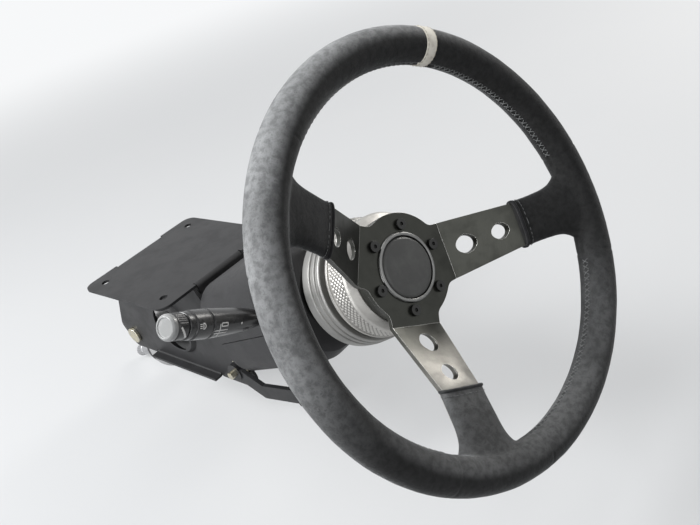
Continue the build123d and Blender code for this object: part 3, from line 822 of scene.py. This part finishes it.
class Print:
    """Fine lines printed on the lever's face as thin slabs, given as (along, across) points in mm."""

    def __init__(self):
        self.verts, self.faces = [], []

    def stroke(self, points, width, closed=False):
        ends = [Vector(p) for p in points] + ([Vector(points[0])] if closed else [])
        middle = []
        for a, b in zip(ends, ends[1:]):
            steps = max(1, math.ceil((b - a).length / 0.7))
            middle += [a.lerp(b, k / steps) for k in range(steps)]
        if not closed:
            middle.append(ends[-1])
        base, count = len(self.verts), len(middle)
        for i, p in enumerate(middle):
            back = middle[i - 1] if i or closed else p
            on = middle[(i + 1) % count] if i < count - 1 or closed else p
            d = (on - back).normalized()
            n = Vector((-d.y, d.x)) * width / 2
            for q, lift in ((p + n, 0.07), (p - n, 0.07), (p - n, -0.2), (p + n, -0.2)):
                r = stalk_radius(q.x / STALK_LONG)
                a = q.y / r
                self.verts.append(on_stalk((r + lift) * math.cos(a), (r + lift) * math.sin(a), q.x))
        self.faces += grid_faces(count, 4, base, closed)
        if not closed:
            end = base + 4 * (count - 1)
            self.faces += [(base, base + 1, base + 2, base + 3), (end + 3, end + 2, end + 1, end)]

    def arc(self, x, y, r, start, end, width, steps=15):
        """An arc round (x, y) between two angles in degrees, or a whole circle."""
        closed = end - start >= 360
        count = steps if closed else steps + 1
        turns = [math.radians(start + (end - start) * k / steps) for k in range(count)]
        self.stroke([(x + r * math.cos(t), y + r * math.sin(t)) for t in turns], width, closed)


def ribs(a, r, z):
    """Fine teeth round the rotary sleeve, with a smooth pad under its white bar."""
    teeth, deep, pad_at, pad_half = 36, 0.35, -0.3, 0.62
    pad = abs((a - pad_at + math.pi) % (2 * math.pi) - math.pi) < pad_half
    return 0.0 if pad or r < SLEEVE_R - 0.05 else -deep * (0.5 + 0.5 * math.cos(a * teeth))


def build_stalk():
    (thin_at, thin), (wide_at, wide), (end_at, end) = WIDEN
    lathe("stalk_arm", "stalk_left", rounded([
        (0, 0), (6, 0, 0.5), (6, at(0.2), 14), (thin, at(thin_at), 16), (wide, at(wide_at), 1.2),
        (10.8, at(0.694), 0.2), (10.8, at(0.704), 0.2), (wide, at(WAIST_END), 0.9), (end, at(end_at), 0.9),
        (10.4, at(0.825), 0.2), (10.4, at(0.834), 0.2), (11.2, at(0.839), 0.7), (11.0, at(0.873), 0.6),
        (9.6, at(0.876)), (0, at(0.876))], 8), 128, on_stalk)

    front = rounded([(0, at(0.88)), (9.6, at(0.88), 0.2), (10.4, at(0.885), 0.4), (10.4, at(0.887))])
    ribbed = [Vector((SLEEVE_R, at(0.888) + at(0.06) * k / 14)) for k in range(15)]
    back = rounded([
        (10.4, at(0.949)), (10.4, at(0.952), 0.5), (9.8, at(0.956), 0.2), (9.8, at(0.959)), (0, at(0.959))])
    lathe("stalk_sleeve", "stalk_knob", front + ribbed + back, 288, on_stalk, ribs, "stalk_plastic")

    lathe("stalk_end", "stalk_knob", rounded([
        (0, at(0.96)), (9.8, at(0.96), 0.2), (10.4, at(0.964), 0.5), (10.3, at(0.985), 1.4),
        (8.4, at(0.9965), 1.8), (7.6, at(0.9965), 0.3), (7.1, at(0.991), 0.3), (0, at(0.992))], 6),
        128, on_stalk)


def build_marks():
    """A bar, a lamp, a line crossed by two more with a box beside them, and a dot."""
    marks = Print()
    marks.stroke([(at(0.944), 1.8), (at(0.893), -7.6)], 1.7)
    x, y, r = at(0.785), 1.2, 2.3
    marks.arc(x, y, r, 90, 270, 0.8)
    marks.stroke([(x, y + r), (x, y - r)], 0.8)
    for k in (-1, 0, 1):
        marks.stroke([(x + 1.2, y + 1.5 * k), (x + 3.6, y + 1.5 * k)], 0.7)
    x, y = at(0.648), -5.2
    marks.stroke([(x, -10.0), (x, 1.5)], 0.85)
    for k in (-1, 1):
        marks.stroke([(at(0.688), y + 1.3 * k), (at(0.58), y + 1.3 * k)], 0.85)
    low, high, left, right = -0.6, 2.0, at(0.635), at(0.585)
    marks.stroke([(left, low), (left, high), (right, high), (right, low)], 0.8, True)
    marks.arc(at(0.46), 0, 0.5, 0, 360, 1.0, 8)
    mesh = clean(mesh_of("stalk_marks", marks.verts, marks.faces))
    finish_piece("stalk_marks", mesh, "column", [MATS["print_white"]])


# The nodes whose edges are broken, with the round's size in mm and the finish of the rounds
EDGES = (
    ("spoke_frame", 0.7, "bare_edge"),
    ("hub_screws", 0.25, None),
    ("tilt_lever", 0.6, None),
    ("clamp_block", 0.8, None),
    ("pivot_block", 0.8, None),
    ("clamp_bolt", 0.4, None),
    ("bracket_top", 0.6, None),
    ("bracket_side_left", 0.5, None),
    ("pivot_pin", 0.6, None),
    ("bracket_side_right", 0.5, None),
    ("bracket_spacer", 0.5, None),
    ("lock_housing", 0.8, None),
    ("ignition_lock", 0.4, None),
    ("cover_upper", 0.5, None),
    ("cover_lower", 0.5, None),
    ("column_tube", 0.5, None),
    ("steering_shaft", 0.2, None),
    ("switch_housing", 0.8, None),
    ("lever_grip", 0.8, None),
)
for name in NODES:
    dress(name)
for name, width, edge in EDGES:
    refine(name, width, edge)
build_turned()
build_stalk()
build_marks()
build_rim()
build_marker()
build_stitches()


# Stage
PALE = (0.93, 0.94, 0.95, 1.0)
AIM = Vector((0.0, -0.3, 0.0))
# Each lamp's place in metres, size, watts and colour
LAMPS = {
    "key": ((-1.3, 0.75, 1.35), (0.8, 1.0), 52, (0.98, 0.99, 1.0)),
    "side": ((1.9, -0.55, 0.85), (0.6, 0.9), 20, (1.0, 0.97, 0.93)),
    "left": ((-1.6, -0.6, 0.55), (0.5, 1.2), 9, (0.98, 0.99, 1.0)),
    "front": ((-0.75, -2.0, 0.85), (1.4, 1.2), 5, (1.0, 1.0, 1.0)),
    "top": ((0.1, 0.2, 2.4), (2.0, 1.8), 14, (1.0, 1.0, 1.0)),
}


def build_lamps():
    for name, (place, size, power, tint) in LAMPS.items():
        data = bpy.data.lights.new(name, "AREA")
        data.energy = power
        data.color = tint
        data.shape = "RECTANGLE"
        data.size, data.size_y = size
        lamp = bpy.data.objects.new(name, data)
        bpy.context.scene.collection.objects.link(lamp)
        lamp.location = place
        lamp.rotation_euler = (AIM - Vector(place)).to_track_quat("-Z", "Y").to_euler()


def seen(nt):
    """1 for what is seen straight, in metal or through glass, and 0 for light that falls on things."""
    path = nt.nodes.new("ShaderNodeLightPath")
    total = path.outputs["Is Camera Ray"]
    for ray in ("Is Glossy Ray", "Is Transmission Ray"):
        either = nt.nodes.new("ShaderNodeMath")
        either.operation = "MAXIMUM"
        nt.links.new(total, either.inputs[0])
        nt.links.new(path.outputs[ray], either.inputs[1])
        total = either.outputs[0]
    return total


def blend(nt, fac, first, second):
    """The first shader where fac is 0 and the second where it is 1."""
    n = nt.nodes.new("ShaderNodeMixShader")
    nt.links.new(fac, n.inputs["Fac"])
    nt.links.new(first, n.inputs[1])
    nt.links.new(second, n.inputs[2])
    return n.outputs[0]


def build_floor():
    """A pale floor that keeps the shadow, fades into the backdrop and is clear from below."""
    half, gap = 14.0, 0.002
    corners = [(-half, -half, 0), (half, -half, 0), (half, half, 0), (-half, half, 0)]
    mesh = mesh_of("floor", corners, [(0, 1, 2, 3)])
    floor = bpy.data.objects.new("floor", mesh)
    bpy.context.scene.collection.objects.link(floor)
    floor.location = (0, 0, cad_lo.z - gap)
    m = Mat("floor_pale")
    v = m.coords()
    view = seen(m.nt)
    pale = m.mix(m.noise(v, 3, 3), (0.30, 0.303, 0.306), (0.32, 0.32, 0.32))
    m.set(Base_Color=m.mix(view, (0.26, 0.26, 0.27), pale), Roughness=0.9, Specular_IOR_Level=0.1,
          Emission_Color=(0.96, 0.98, 1.0, 1.0), Emission_Strength=m.math("MULTIPLY", view, 0.4))
    glow = m.add("Emission", Color=PALE, Strength=1.0)
    away = m.math("MULTIPLY", m.ramp(m.length(v), 0.7, 3.2), view)
    top = blend(m.nt, away, m.bsdf.outputs[0], glow.outputs[0])
    both = blend(m.nt, m.add("NewGeometry").outputs["Backfacing"], top, m.add("BsdfTransparent").outputs[0])
    m.nt.links.new(both, m.nt.nodes["Material Output"].inputs["Surface"])
    mesh.materials.append(m.mat)


def build_world():
    """A faint even light on things, behind which the camera sees a pale backdrop."""
    world = bpy.data.worlds.new("studio")
    bpy.context.scene.world = world
    world.use_nodes = True
    nt = world.node_tree
    light = nt.nodes["Background"]
    light.inputs["Color"].default_value = (0.93, 0.96, 1.0, 1.0)
    light.inputs["Strength"].default_value = 0.2
    backdrop = nt.nodes.new("ShaderNodeBackground")
    backdrop.inputs["Color"].default_value = PALE
    backdrop.inputs["Strength"].default_value = 1.0
    mixed = blend(nt, seen(nt), light.outputs[0], backdrop.outputs[0])
    nt.links.new(mixed, nt.nodes["World Output"].inputs["Surface"])


def build_camera():
    """On the driver's side of the wheel, to its left and above it."""
    data = bpy.data.cameras.new("camera")
    data.sensor_width = 36
    data.lens = 40.65
    data.clip_start = 0.01
    cam = bpy.data.objects.new("camera", data)
    bpy.context.scene.collection.objects.link(cam)
    place = (-0.39004, -0.72745, 0.34932)
    right = Vector((0.61675, -0.73272, -0.28765))
    up = Vector((0.5343, 0.12132, 0.83654))
    back = Vector((-0.57806, -0.66962, 0.46632))
    cam.matrix_world = Matrix.Translation(place) @ Matrix((right, up, back)).transposed().to_4x4()
    bpy.context.scene.camera = cam


build_camera()
build_floor()
build_world()
build_lamps()
bpy.context.scene.view_settings.view_transform = "Standard"
